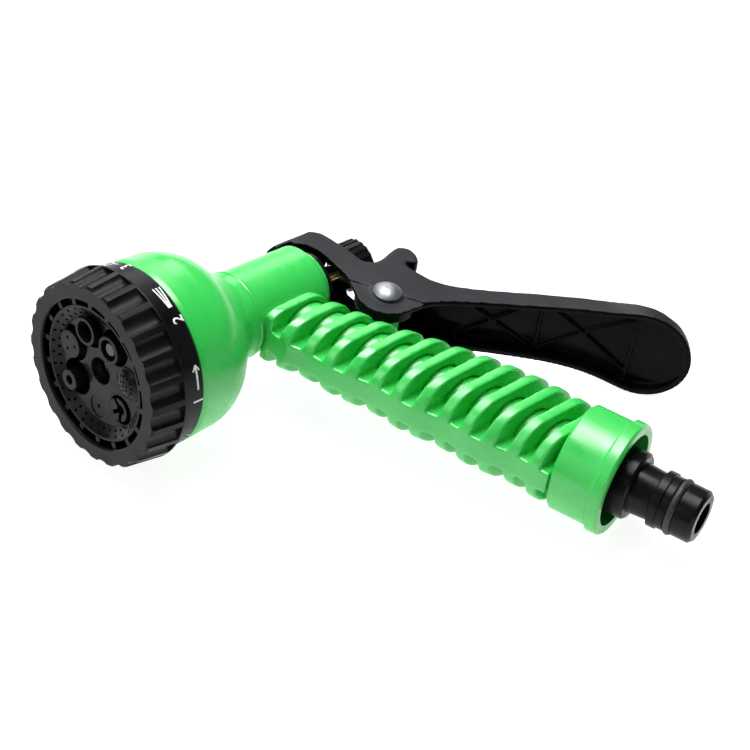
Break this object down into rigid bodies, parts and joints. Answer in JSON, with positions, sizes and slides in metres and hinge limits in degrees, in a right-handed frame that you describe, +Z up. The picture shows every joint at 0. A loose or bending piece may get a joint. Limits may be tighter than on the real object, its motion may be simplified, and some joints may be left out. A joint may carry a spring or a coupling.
{
  "type": "hose spray nozzle",
  "caption": "Pistol-shaped garden hose spray nozzle with a turning pattern dial, a squeeze trigger, a flow knob, a ribbed grip and a quick-connect tail.",
  "frame": {"origin": "middle of the outline's box seen from above, at the height of the surface the nozzle lies on", "axes": "the nozzle lies on its right side: +Z up from that surface, +Y from the hose tail towards the barrel (up when in use), -X towards the spray outlets (forward when in use)"},
  "size_m": [0.1562, 0.1674, 0.0572],
  "materials": {
    "green_abs": "bright, glossy, moulded",
    "charcoal_abs": "satin, fine moulded grain",
    "gloss_black_abs": "glossy, moulded",
    "acetal": "satin",
    "rivet_metal": "bright, headed cold",
    "brass": "turned",
    "stainless": "drawn",
    "nitrile": "matt"
  },
  "bodies": {
    "body": {"barrel_body": "green_abs", "bell_housing": "green_abs", "weld_bead": "green_abs", "grip_sleeve": "green_abs", "end_collar": "green_abs", "hose_adapter": "charcoal_abs", "adapter_o_ring": "nitrile", "inlet_washer": "nitrile", "inlet_screen": "stainless", "valve_seat": "brass", "gland_nut": "charcoal_abs", "stem_o_ring": "nitrile", "return_spring": "stainless", "outlet_hub": "charcoal_abs", "dial_seal": "nitrile", "detent_ball": "stainless", "detent_spring": "stainless", "dial_washer": "stainless", "dial_screw": "stainless"},
    "dial": {"dial_ring": "charcoal_abs", "spray_face": "charcoal_abs", "index_plate": "acetal", "shower_insert": "charcoal_abs", "fan_insert": "charcoal_abs", "cone_pin": "acetal"},
    "trigger": {"trigger_lever": "gloss_black_abs", "pivot_rivet": "rivet_metal", "rivet_cap": "rivet_metal"},
    "stem": {"valve_stem": "brass", "valve_poppet": "acetal", "poppet_seal": "nitrile", "stem_nut": "brass"},
    "knob": {"flow_knob": "charcoal_abs", "knob_insert": "brass"}
  },
  "joints": [
    {"name": "dial_turn", "type": "hinge", "parent": "body", "child": "dial", "pos_m": [-0.06335, 0.05498, 0.02847], "axis": [-0.9964, -0.0031, 0.0841], "continuous": true},
    {"name": "trigger_pull", "type": "hinge", "parent": "body", "child": "trigger", "pos_m": [0.01338, 0.03183, 0.02114], "axis": [-0.0842, 0.0366, -0.9958], "range_deg": [0, 12], "stiffness_Nm_per_rad": 0.44, "springref_deg": -20.05},
    {"name": "stem_slide", "type": "slide", "parent": "body", "child": "stem", "axis": [0.9964, 0.0031, -0.0841], "range_m": [0, 0.005], "deforming": ["return_spring"]},
    {"name": "knob_turn", "type": "hinge", "parent": "stem", "child": "knob", "pos_m": [0.02135, 0.05524, 0.02132], "axis": [-0.9964, -0.0031, 0.0841], "range_deg": [0, 540]}
  ],
  "couplings": [
    {"joint": "stem_slide", "follows": "trigger_pull", "m_per_rad": 0.0229}
  ]
}
